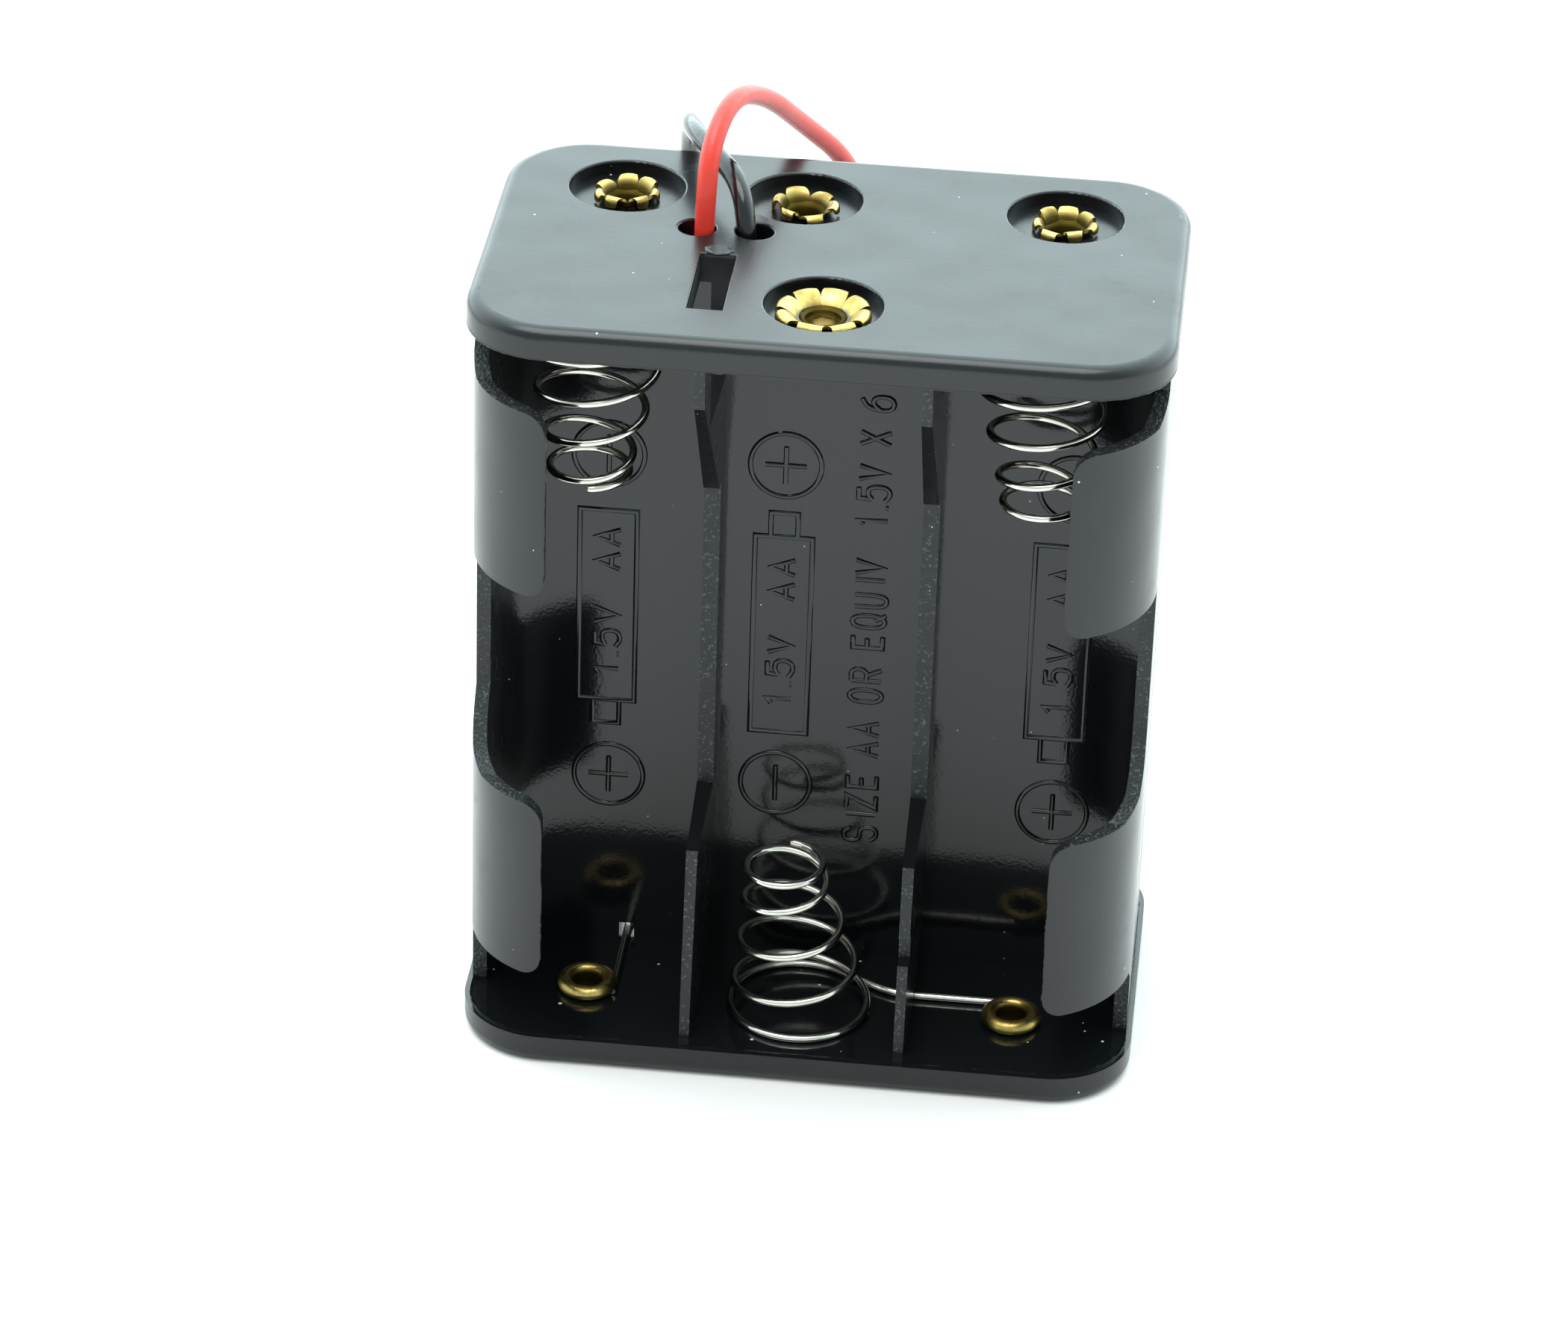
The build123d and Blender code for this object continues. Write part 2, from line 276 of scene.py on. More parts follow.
def soften(values: np.ndarray, reach: int) -> np.ndarray:
    """Running mean over reach samples each way, with the ends held."""
    window = np.ones(2 * reach + 1) / (2 * reach + 1)
    return np.convolve(np.pad(values, reach, mode="edge"), window, "valid")


# ----------------------------------------------------------------- finishes
# The plastic's noise patterns: the width of a feature in millimetres, and the
# number of finer layers in it.
PLASTIC_PATTERNS = {
    "sinks": (9.0, 1.0), "waves": (16.0, 0.0), "cloud": (4.0, 3.0), "scuffs": (2.6, 4.0),
    "grain": (0.24, 2.0), "glint_tears": (0.24, 1.0)}

# Where the plastic differs. A region is the product of smooth steps, each of one
# measure from its first number to its second, falling when the first is larger.
# x, y and z are places, wide and deep their distances from the middle, in
# millimetres; up is how far a face looks up, level and rise how far it looks
# along Y and Z either way.
BELOW_CEILING = ("z", 56.4, 56.0)
ABOVE_FLOOR = ("z", 2.4, 2.7)
PLASTIC_REGIONS = {
    "web": (("deep", 1.1, 0.9), BELOW_CEILING),
    "bay_floor": (("up", 0.6, 0.9), ("z", 2.6, 2.3)),
    "edges": (("level", 0.85, 0.97), ABOVE_FLOOR, BELOW_CEILING,
              ("deep", 2.0, 3.0), ("deep", 14.9, 14.6)),
    "brows": (("rise", 0.12, 0.3), ABOVE_FLOOR, BELOW_CEILING, ("wide", 17.5, 17.8)),
    "side_wall": (("wide", 17.0, 17.4),),
    "slot": (("z", 49.0, 50.0), ("z", 58.4, 58.1), ("x", -9.08, -9.07), ("x", -6.58, -6.59),
             ("y", -10.26, -10.25), ("y", -1.44, -1.45))}


@dataclass(frozen=True)
class MouldedPolypropylene:
    """Black polypropylene, injection moulded. The polished core side of the tool
    leaves the bays like dark glass with slow waves; the outside is half gloss
    with shallow sinks over the thick places; sawn and flashed edges are coarse."""

    name: str = "moulded_polypropylene"
    body: str = "0d0f11"
    # Lighter grey painted on the torn grains as their highlight.
    torn_glint: str = "3d4346"
    dust: str = "bcc2c6"
    ior: float = 1.49
    outside_roughness: float = 0.25
    bay_roughness: float = 0.1
    edge_roughness: float = 0.5
    slot_roughness: float = 0.75
    scuff_roughness: float = 0.05
    cloud_share: float = 0.15
    sink_depth: float = 0.2
    wave_depth: float = 0.26
    grain_depth: float = 0.1
    smooth_grain: float = 0.05
    dust_cell: float = 1.3
    dust_size: float = 0.05
    floor_dust_size: float = 0.035
    least_dust: float = 0.35
    cells_without_dust: float = 0.72

    def regions(self, node: Callable, place: bpy.types.NodeSocket) -> dict:
        """Turn the table of regions into masks.

        Args:
            node: add_node for the material's tree.
            place: Where a point is, metres.

        Returns:
            The mask of each region by name: 1 inside and 0 outside.
        """
        scaled = node("VectorMath", {0: place, "Scale": 1 / MM}, operation="SCALE")
        x, y, z = node("SeparateXYZ", {0: scaled}).outputs
        _, ahead, up = node("SeparateXYZ", {0: node("NewGeometry").outputs["Normal"]}).outputs
        measures = {"x": x, "y": y, "z": z, "up": up}
        for name, signed in (("wide", x), ("deep", y), ("level", ahead), ("rise", up)):
            measures[name] = node("Math", {0: signed}, operation="ABSOLUTE")
        masks = {}
        for name, steps in PLASTIC_REGIONS.items():
            masks[name] = 1.0
            for measure, start, full in steps:
                step = node("MapRange", {"Value": measures[measure], "From Min": start,
                                         "From Max": full}, interpolation_type="SMOOTHSTEP")
                masks[name] = node("Math", {0: masks[name], 1: step}, operation="MULTIPLY")
        return masks

    def material(self) -> bpy.types.Material:
        """Build the node material."""
        material, node = start_material(self.name)
        place = node("TexCoord").outputs["Object"]
        masks = self.regions(node, place)
        patterns = {name: node("TexNoise", {"Vector": place, "Scale": per_metre(width),
                                            "Detail": detail})
                    for name, (width, detail) in PLASTIC_PATTERNS.items()}
        polished = node("Math", {0: masks["web"], 1: masks["bay_floor"]}, operation="MAXIMUM")
        outside = node("Math", {0: 1.0, 1: polished}, operation="SUBTRACT")
        coarse = node("Math", {0: masks["edges"], 1: masks["brows"]}, operation="MAXIMUM")

        # Roughness: smoothest in the bays, dull at coarse edges, varied a little all
        # over. Patches of fine rubbing dull the outside a touch more.
        rough = node("Mix", {"Factor": polished, 2: self.outside_roughness,
                             3: self.bay_roughness})
        rough = node("Mix", {"Factor": coarse, 2: rough, 3: self.edge_roughness})
        cloud = node("MapRange", {"Value": patterns["cloud"], "To Min": 1 - self.cloud_share,
                                  "To Max": 1 + self.cloud_share})
        rough = node("Math", {0: rough, 1: cloud}, operation="MULTIPLY")
        rubbed = node("MapRange", {"Value": patterns["scuffs"], "From Min": 0.56, "From Max": 0.68,
                                   "To Max": self.scuff_roughness},
                      interpolation_type="SMOOTHSTEP")
        rough = node("Math", {0: rubbed, 1: outside, 2: rough}, operation="MULTIPLY_ADD")
        # Inside the slot the tool's rough core has left the walls dull.
        dull = node("Math", {0: masks["slot"], 1: self.slot_roughness}, operation="MULTIPLY")
        rough = node("Math", {0: rough, 1: dull}, operation="MAXIMUM")

        # Sinks outside, slow waves in the bays, and a fine grain that is full only on
        # the side walls' coarse edges. The grain is drawn as coarse as it has to be to show.
        wall = node("Math", {0: coarse, 1: masks["side_wall"]}, operation="MULTIPLY")
        grained = node("MapRange", {"Value": wall, "To Min": self.smooth_grain})
        under = {}
        for name, share, depth in (("sinks", outside, self.sink_depth),
                                   ("waves", polished, self.wave_depth),
                                   ("grain", grained, self.grain_depth)):
            bump = node("Bump", {"Strength": share, "Distance": depth * MM,
                                 "Height": patterns[name], **under})
            under = {"Normal": bump}

        # Painted highlight: torn grains along the coarse edges get a lighter grey, standing in for
        # the light they catch.
        torn_glint = node("MapRange", {"Value": patterns["glint_tears"], "From Min": 0.6, "From Max": 0.68},
                    interpolation_type="SMOOTHSTEP")
        torn_glint = node("Math", {0: coarse, 1: torn_glint}, operation="MULTIPLY")
        # Loose dust: one speck in some cells of a scattered grid, larger on the bays' floor.
        cells = node("TexVoronoi", {"Vector": place, "Scale": per_metre(self.dust_cell)})
        chance, spread, _ = node("SeparateColor", {0: cells.outputs["Color"]}).outputs
        size = node("Math", {0: masks["bay_floor"], 1: self.floor_dust_size, 2: self.dust_size},
                    operation="MULTIPLY_ADD")
        varied = node("Math", {0: spread, 1: self.least_dust}, operation="ADD")
        reach = node("Math", {0: size, 1: varied}, operation="MULTIPLY")
        near = node("Math", {0: cells.outputs["Distance"], 1: reach}, operation="LESS_THAN")
        chosen = node("Math", {0: chance, 1: self.cells_without_dust}, operation="GREATER_THAN")
        speck = node("Math", {0: near, 1: chosen}, operation="MULTIPLY")

        tint = colour_of(self.body)
        # The torn grains' lighter grey is a painted highlight; the dust specks are real dust.
        for share, shade in ((torn_glint, self.torn_glint), (speck, self.dust)):
            tint = node("Mix", {"Factor": share, 6: tint, 7: colour_of(shade)},
                        data_type="RGBA").outputs[2]
        shader = node("BsdfPrincipled", {"Base Color": tint, "Roughness": rough,
                                         "IOR": self.ior, "Normal": bump})
        node("OutputMaterial", {"Surface": shader})
        return material


@dataclass(frozen=True)
class BareMetal:
    """A bare metal whose shine is broken by fine drawing or rolling marks and whose
    colour wanders a little where it has dulled."""

    name: str
    bright: str
    dull: str
    roughness: float
    patch_width: float
    mark_width: float
    mark_depth: float
    # Colour of the painted shade in sheltered hollows; none when empty.
    painted_shade_colour: str = ""
    dulling: float = 1.9

    def material(self) -> bpy.types.Material:
        """Build the node material."""
        material, node = start_material(self.name)
        place = node("TexCoord").outputs["Object"]
        patch = node("TexNoise", {"Vector": place, "Scale": per_metre(self.patch_width),
                                  "Detail": 3.0})
        share = node("MapRange", {"Value": patch, "From Min": 0.42, "From Max": 0.72})
        tint = node("Mix", {"Factor": share, 6: colour_of(self.bright), 7: colour_of(self.dull)},
                    data_type="RGBA").outputs[2]
        if self.painted_shade_colour:
            # Painted shade: the sheltered inside is darkened towards a shade colour, standing in
            # for the shadow in the hollow.
            painted_shade = node("Attribute", attribute_name="painted_shade").outputs["Fac"]
            tint = node("Mix", {"Factor": painted_shade, 6: tint, 7: colour_of(self.painted_shade_colour)},
                        data_type="RGBA").outputs[2]
            share = node("Math", {0: share, 1: painted_shade}, operation="MAXIMUM")
        rough = node("MapRange", {"Value": share, "To Min": self.roughness,
                                  "To Max": self.roughness * self.dulling})
        marks = node("TexNoise", {"Vector": place, "Scale": per_metre(self.mark_width),
                                  "Detail": 2.0})
        bump = node("Bump", {"Strength": 1.0, "Distance": self.mark_depth * MM, "Height": marks})
        shader = node("BsdfPrincipled", {"Base Color": tint, "Metallic": 1.0,
                                         "Roughness": rough, "Normal": bump})
        node("OutputMaterial", {"Surface": shader})
        return material


@dataclass(frozen=True)
class LeadInsulation:
    """PVC insulation, extruded over the strands: a soft half gloss, with the die's
    faint unevenness and a slight bloom where it has been handled."""

    name: str
    bright: str
    deep: str
    roughness: float = 0.34
    ior: float = 1.53
    patch_width: float = 5.0
    ripple_width: float = 0.6
    ripple_depth: float = 0.045

    def material(self) -> bpy.types.Material:
        """Build the node material."""
        material, node = start_material(self.name)
        place = node("TexCoord").outputs["Object"]
        patch = node("TexNoise", {"Vector": place, "Scale": per_metre(self.patch_width),
                                  "Detail": 2.0})
        tint = node("Mix", {"Factor": patch, 6: colour_of(self.bright), 7: colour_of(self.deep)},
                    data_type="RGBA").outputs[2]
        rough = node("MapRange", {"Value": patch, "To Min": self.roughness * 0.8,
                                  "To Max": self.roughness * 1.25})
        ripple = node("TexNoise", {"Vector": place, "Scale": per_metre(self.ripple_width),
                                   "Detail": 1.0})
        bump = node("Bump", {"Strength": 0.5, "Distance": self.ripple_depth * MM,
                             "Height": ripple})
        shader = node("BsdfPrincipled", {"Base Color": tint, "Roughness": rough,
                                         "IOR": self.ior, "Normal": bump})
        node("OutputMaterial", {"Surface": shader})
        return material


@dataclass(frozen=True)
class StudioPaper:
    """Matt white paper under the holder."""

    name: str = "studio_paper"
    shade: str = "ded8d6"

    def material(self) -> bpy.types.Material:
        """Build the node material."""
        material, node = start_material(self.name)
        shader = node("BsdfPrincipled", {"Base Color": colour_of(self.shade), "Roughness": 0.9,
                                         "Specular IOR Level": 0.0})
        node("OutputMaterial", {"Surface": shader})
        return material


class Finish(Enum):
    """The finishes that the pieces choose from."""

    PLASTIC = MouldedPolypropylene()
    # The brass darkens to a painted shade colour in its bore and funnel.
    BRASS = BareMetal("rolled_brass", "c4ab66", "94783c", 0.27, 1.1, 0.12, 0.012,
                      painted_shade_colour="4a3d16")
    SPRING = BareMetal("nickel_plated_wire", "dcd8cf", "c4beb2", 0.13, 2.5, 0.3, 0.003)
    TINNED = BareMetal("tinned_copper", "b3aca0", "94795a", 0.32, 1.0, 0.1, 0.006)
    SOLDER = BareMetal("tin_solder", "c3c6c9", "9ea1a3", 0.28, 0.8, 0.3, 0.03)
    RED = LeadInsulation("red_pvc", "de3a2a", "c82a1f")
    BLACK = LeadInsulation("black_pvc", "111315", "090a0b", roughness=0.14)
    PAPER = StudioPaper()


class Wardrobe:
    """Makes each finish once and hands it out."""

    def __init__(self) -> None:
        """Start with nothing made."""
        self.made: dict[Finish, bpy.types.Material] = {}

    def of(self, finish: Finish) -> bpy.types.Material:
        """Give a finish's material.

        Args:
            finish: The finish that a piece asks for.

        Returns:
            The material, made the first time.
        """
        if finish not in self.made:
            self.made[finish] = finish.value.material()
        return self.made[finish]


# ------------------------------------------------------------------- studio
@dataclass
class ViewingCamera:
    """The camera: where it looks, from how far, and how it is turned."""

    azimuth: float = 5.003
    elevation: float = 30.107
    roll: float = 1.913
    distance: float = 426.09
    target: tuple = (-2.568, 0.0, 26.106)
    focal: float = 137.66
    film: float = 36.0

    def build(self) -> bpy.types.Object:
        """Place the camera and make it the scene's own.

        Its own side and top directions are the level ones turned by the roll.

        Returns:
            The camera.
        """
        a, e, r = np.radians([self.azimuth, self.elevation, self.roll])
        back = np.array([np.sin(a) * np.cos(e), -np.cos(a) * np.cos(e), np.sin(e)])
        right = np.cross(-back, (0, 0, 1))
        right /= np.linalg.norm(right)
        up = np.cross(right, -back)
        side, top = right * np.cos(r) + up * np.sin(r), up * np.cos(r) - right * np.sin(r)
        place = (np.array(self.target) + back * self.distance) * MM
        data = bpy.data.cameras.new("viewing_camera")
        data.lens, data.sensor_width = self.focal, self.film
        data.clip_start, data.clip_end = 0.01, 20
        camera = in_scene("viewing_camera", data)
        turned = Matrix.Identity(4)
        for column, vector in enumerate((side, top, back, place)):
            for row in range(3):
                turned[row][column] = vector[row]
        camera.matrix_world = turned
        bpy.context.scene.camera = camera
        return camera


@dataclass
class SoftLight:
    """One large soft light: where it hangs, what it faces, its size and power."""

    name: str
    place: tuple
    aim: tuple
    size: tuple
    power: float

    def build(self) -> bpy.types.Object:
        """Hang the light.

        Returns:
            The light.
        """
        data = bpy.data.lights.new(self.name, "AREA")
        data.shape, data.size, data.size_y = "RECTANGLE", *self.size
        data.energy = self.power
        lamp = in_scene(self.name, data)
        lamp.location = self.place
        towards = Vector(self.aim) - Vector(self.place)
        lamp.rotation_euler = towards.to_track_quat("-Z", "Y").to_euler()
        return lamp


@dataclass
class Studio:
    """A sheet of white paper, pale surroundings that glow more from behind, and one
    soft light overhead."""

    paper_size: float = 3.0
    tint: str = "e9fdff"
    front: float = 0.85
    rear: float = 4.0

    def build(self, wardrobe: Wardrobe) -> None:
        """Lay the paper, set the surroundings and hang the light.

        Args:
            wardrobe: The finishes.
        """
        half = self.paper_size / 2
        mesh = bpy.data.meshes.new("paper_floor")
        corners = [(-half, -half, 0), (half, -half, 0), (half, half, 0), (-half, half, 0)]
        mesh.from_pydata(corners, [], [(0, 1, 2, 3)])
        mesh.materials.append(wardrobe.of(Finish.PAPER))
        in_scene("paper_floor", mesh)
        world = bpy.data.worlds.new("studio_surround")
        world.use_nodes = True
        tree = world.node_tree
        sky = tree.nodes["Background"]
        sky.inputs[0].default_value = colour_of(self.tint)
        # The walls glow more towards the rear and the sides than towards the front.
        direction = add_node(tree, "TexCoord").outputs["Generated"]
        toward = add_node(tree, "SeparateXYZ", {0: direction})
        glow = add_node(tree, "MapRange", {"Value": toward.outputs["Y"], "From Min": -0.75,
                                           "From Max": 0.7, "To Min": self.front,
                                           "To Max": self.rear},
                        interpolation_type="SMOOTHSTEP")
        tree.links.new(glow.outputs[0], sky.inputs[1])
        bpy.context.scene.world = world
        SoftLight("overhead", (-0.12, -0.2, 0.75), (0, 0, 0.03), (0.6, 0.5), 4.0).build()
        bpy.context.scene.view_settings.view_transform = "Standard"


# -------------------------------------------------------------------- leads
@dataclass
class LeadCord:
    """An insulated lead: its route, its size, its bare far end and its colour."""

    colour: str
    finish: Finish
    route: list
    length: float
    diameter: float = 1.4
    strip: float = 4.0
    strand: float = 0.2
    lay: float = 5.5

    def centreline(self) -> np.ndarray:
        """Read the smooth route from a curve with no bevel.

        Returns:
            Points along it, millimetres.
        """
        bare = self.curve(f"{self.colour}_route", 0.0)
        mesh = bpy.data.meshes.new_from_object(bare)
        points = np.empty(len(mesh.vertices) * 3)
        mesh.vertices.foreach_get("co", points)
        bpy.data.objects.remove(bare)
        bpy.data.meshes.remove(mesh)
        return points.reshape(-1, 3) / MM

    def curve(self, name: str, bevel: float) -> bpy.types.Object:
        """Make the route as one open NURBS spline, with the points as its controls.

        Args:
            name: The object's name.
            bevel: Radius of the round section, millimetres.

        Returns:
            The curve object.
        """
        data = bpy.data.curves.new(name, "CURVE")
        data.dimensions, data.bevel_depth, data.bevel_resolution = "3D", bevel * MM, 6
        data.use_fill_caps, data.resolution_u = bevel > 0, 14
        spline = data.splines.new("NURBS")
        spline.points.add(len(self.route) - 1)
        held = np.ones((len(self.route), 4))
        held[:, :3] = np.array(self.route) * MM
        spline.points.foreach_set("co", held.ravel())
        spline.order_u, spline.use_endpoint_u = 3, True
        return in_scene(name, data)

    def strands(self, material: bpy.types.Material) -> bpy.types.Object:
        """Seven fine strands, one straight and six twisted round it.

        Each outer strand's centre is the lead's own line carried on straight, plus
        one strand across it at an angle that grows evenly along the lay.

        Args:
            material: The strands' finish.

        Returns:
            The strands as one piece.
        """
        line = self.centreline()
        start, ahead = line[-1], line[-1] - line[-2]
        ahead /= np.linalg.norm(ahead)
        run = np.linspace(-0.6, self.strip, 24)
        core = start + run[:, None] * ahead
        side = np.cross(ahead, (0, 0, 1))
        side /= np.linalg.norm(side)
        other = np.cross(side, ahead)
        shells = [tube(core, self.strand / 2, (0, 0, 1), 8)]
        for k in range(6):
            turn = (2 * np.pi * run / self.lay + np.pi * k / 3)[:, None]
            off = self.strand * (np.cos(turn) * side + np.sin(turn) * other)
            shells.append(tube(core + off, self.strand / 2, (0, 0, 1), 8))
        piece = piece_from(f"{self.colour}_lead_twisted_strands", shells, material)
        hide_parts(f"{self.colour}_lead_strands")
        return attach(piece, BODY)

    def build(self, wardrobe: Wardrobe) -> list:
        """Args:
            wardrobe: The finishes.

        Returns:
            The lead and its strands.
        """
        strands = self.strands(wardrobe.of(Finish.TINNED))
        lead = self.curve(f"{self.colour}_lead_insulation", self.diameter / 2)
        lead.data.materials.append(wardrobe.of(self.finish))
        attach(lead, BODY)
        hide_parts(f"{self.colour}_lead")
        return [lead, strands]


# ------------------------------------------------------------------ springs
@dataclass
class ConicalSpring:
    """A conical contact spring of one wire: its tail, a flat base turn, an open cone
    and a last turn that closes at the tip."""

    name: str
    x: float
    y: float
    on_top: bool
    heading: float
    reach: float
    lean: tuple = (0.0, 0.0)
    wire: float = 0.55
    base: float = 4.95
    tip: float = 2.75
    ring_height: float = 0.295
    tip_height: float = 11.925
    tail_angle: float = 60.0
    base_turn: float = 290.0
    open_turns: float = 3.27
    closing_turn: float = 360.0
    tail_lane: float = 1.925
    tail_bend: float = 1.8

    def path(self) -> np.ndarray:
        """Centre of the wire in the seat's axes.

        The angle grows evenly. The height holds on the base turn, climbs evenly
        on the open turns and by one wire on the last, with the changes softened.
        The radius falls evenly from the base turn to the last turn. The tail runs
        straight to the knee, and round it on a quadratic curve.

        Returns:
            Points from the tail's end to the tip, millimetres.
        """
        step = 5.0
        begin = self.tail_angle + self.base_turn
        cone = self.open_turns * 360.0
        angle = np.arange(self.tail_angle, begin + cone + self.closing_turn + step / 2, step)
        top = self.tip_height - self.wire * 1.08
        height = np.interp(angle, [begin, begin + cone, begin + cone + self.closing_turn],
                           [self.ring_height, top, self.tip_height])
        radius = np.interp(angle, [begin, begin + cone], [self.base, self.tip])
        height, radius = soften(height, 7), soften(radius, 9)
        a = np.radians(angle)
        coil = np.stack([radius * np.cos(a), radius * np.sin(a), height], 1)
        if not self.reach:
            return coil
        start = coil[0]
        leave = np.radians(self.tail_angle)
        knee_x = start[0] + (start[1] - self.tail_lane) / np.tan(np.pi / 2 - leave)
        knee = np.array([knee_x, self.tail_lane, self.ring_height])
        end = np.array([self.reach, self.tail_lane, self.ring_height])
        inward = (start - knee) / np.linalg.norm(start - knee)
        bend_in, bend_out = knee + np.array([self.tail_bend, 0, 0]), knee + inward * self.tail_bend
        t = np.linspace(0, 1, 9)[:, None]
        straight = end + (bend_in - end) * np.linspace(0, 1, 20)[:, None]
        bend = (1 - t) ** 2 * bend_in + 2 * t * (1 - t) * knee + t * t * bend_out
        last = bend_out + (start - bend_out) * np.linspace(0, 1, 5)[:, None]
        return np.concatenate([straight, bend[1:], last[1:-1], coil])

    def build(self, wardrobe: Wardrobe) -> bpy.types.Object:
        """Sweep the wire, leaning it more towards its tip, in place of its coil and tip nodes.

        Args:
            wardrobe: The finishes.

        Returns:
            The spring.
        """
        local = self.path()
        radius = np.full(len(local), self.wire / 2)
        radius[[0, -1]] *= 0.8
        climb = self.tip_height - self.ring_height
        share = np.clip((local[:, 2] - self.ring_height) / climb, 0, 1)
        seat = seat_matrix(self.x, self.y, self.on_top, self.heading)
        world = to_seat(local, seat)
        world[:, :2] += share[:, None] ** 1.3 * np.array(self.lean)
        shell = tube(world, radius, (0, 0, 1))
        piece = piece_from(f"{self.name}_conical_spring", [shell], wardrobe.of(Finish.SPRING), 60.0)
        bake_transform(piece)
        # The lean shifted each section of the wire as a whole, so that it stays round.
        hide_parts(f"{self.name}_spring_coil", f"{self.name}_spring_tip")
        return piece


# ------------------------------------------------------------------ eyelets
@dataclass
class Eyelet:
    """A brass eyelet: a rolled flange inside, a barrel through the plate, and a split
    collar spread into petals in the well outside."""

    name: str
    x: float
    y: float
    on_top: bool
    petal_radius: float
    petals: int
    ragged: float
    seed: int
    crest: float = 0.55
    gap: float = 0.34
    mouth: float = 1.55
    bore: float = 1.1
    barrel: float = 1.6
    sheet: float = 0.2
    flange: float = 2.15
    rim_height: float = 1.02

    def collar(self, turns: int = 48) -> tuple:
        """The rolled rim and the barrel: one closed outline turned about the axis.

        The outline is a list of radius and height, from the bore over the full
        round rim and down the barrel, and each turn of it is one loop.

        Args:
            turns: Loops round the axis.

        Returns:
            The shell's points and faces.
        """
        top = self.rim_height
        outline = np.array([
            (self.bore, -0.9), (self.bore, top - 0.5), (self.bore + 0.05, top - 0.28),
            (self.bore + 0.17, top - 0.11), (self.bore + 0.35, top - 0.02),
            (self.bore + 0.55, top), (self.bore + 0.75, top - 0.07),
            (self.flange - 0.12, top - 0.22), (self.flange - 0.03, top - 0.42),
            (self.flange, top - 0.6), (self.flange - 0.06, top - 0.8),
            (self.flange - 0.2, 0.1), (self.flange - 0.38, 0.02),
            (self.barrel, 0.0), (self.barrel, -WELL_FLOOR + 0.1),
            (self.barrel - 0.16, -WELL_FLOOR - 0.1), (self.barrel - 0.36, -WELL_FLOOR + 0.1)])
        a = np.linspace(0, 2 * np.pi, turns, endpoint=False)[:, None]
        rows = np.stack([outline[:, 0] * np.cos(a), outline[:, 0] * np.sin(a),
                         np.broadcast_to(outline[:, 1], (turns, len(outline)))], -1)
        return loft(rows, ring=True)

    def petal(self, index: int, chance: np.random.Generator) -> tuple:
        """One petal of the split collar.

        Its middle line is a cubic curve in radius and height that leaves the
        barrel as a funnel, crests outside the plate and curls down to the well's
        floor. Each section across it is a strip, bowed a little, with the
        sheet's thickness.

        Args:
            index: Which petal it is.
            chance: Where its own small differences come from.

        Returns:
            The shell's points and faces.
        """
        wild = chance.uniform(-1, 1, 4) * self.ragged
        reach = self.petal_radius * (1 + 0.1 * wild[0])
        crest = self.crest * (1 + 0.3 * wild[1])
        s = np.linspace(0, 1, 15)[:, None]
        anchors = np.array([
            (self.barrel - 0.3, WELL_FLOOR - 0.7),
            (self.mouth, WELL_FLOOR + 1.15 * crest),
            (reach + 0.05, WELL_FLOOR + 2.0 * crest),
            (reach, WELL_FLOOR + 0.13 + 0.2 * max(wild[2], 0))])
        line = ((1 - s) ** 3 * anchors[0] + 3 * s * (1 - s) ** 2 * anchors[1]
                + 3 * s * s * (1 - s) * anchors[2] + s ** 3 * anchors[3])
        ahead = np.gradient(line, axis=0)
        ahead /= np.linalg.norm(ahead, axis=1, keepdims=True)
        normal = np.stack([-ahead[:, 1], ahead[:, 0]], 1)
        # The slits open only where the collar turns out.
        opened = np.clip((s[:, 0] - 0.3) / 0.5, 0, 1)
        gap = (self.gap + 0.22 * self.ragged) * opened * opened * (3 - 2 * opened)
        rounding = np.sqrt(np.clip(1 - np.clip((s[:, 0] - 0.86) / 0.2, 0, 1) ** 2, 0.3, 1))
        half = np.pi / self.petals * (1.0 - gap) * rounding * (1 - 0.12 * abs(wild[3]) * opened)
        u = np.linspace(-1, 1, 9)
        bow = 0.05 * (1 - u ** 2)
        shift = 0.16 * wild[3] * opened[:, None]
        loops = []
        for offset, order in ((self.sheet / 2, u), (-self.sheet / 2, u[::-1])):
            rise = offset + (bow if offset > 0 else bow[::-1])
            r = line[:, :1] + normal[:, :1] * rise
            z = line[:, 1:] + normal[:, 1:] * rise
            a = 2 * np.pi * index / self.petals + half[:, None] * order + shift
            loops.append(np.stack([r * np.cos(a), r * np.sin(a), -z], -1))
        return loft(np.concatenate(loops, 1)[:, ::-1])

    def build(self, wardrobe: Wardrobe) -> bpy.types.Object:
        """Make the eyelet in place of its plain node, with painted shade in its bore.

        Args:
            wardrobe: The finishes.

        Returns:
            The eyelet.
        """
        chance = np.random.default_rng(self.seed)
        shells = [self.collar()] + [self.petal(k, chance) for k in range(self.petals)]
        local = np.concatenate([points for points, _ in shells])
        out = np.hypot(local[:, 0], local[:, 1])
        # Painted shade: the bore on the rim's side, and the funnel on the petals' side, are
        # darkened, each fully at a radius and less out to the next.
        bore_dark, bore_clear, funnel_dark, funnel_clear = 1.12, 1.22, 1.5, 2.0
        painted_shade = np.clip(np.where(local[:, 2] > -0.5,
                                   (bore_clear - out) / (bore_clear - bore_dark),
                                   (funnel_clear - out) / (funnel_clear - funnel_dark)), 0, 1)
        seat = seat_matrix(self.x, self.y, self.on_top)
        turn = chance.uniform(0, 2 * np.pi)
        spin = np.array([(np.cos(turn), np.sin(turn), 0), (-np.sin(turn), np.cos(turn), 0),
                         (0, 0, 1)])
        shells = [(to_seat(points @ spin, seat), faces) for points, faces in shells]
        piece = piece_from(f"{self.name}_rolled", shells, wardrobe.of(Finish.BRASS), 50.0)
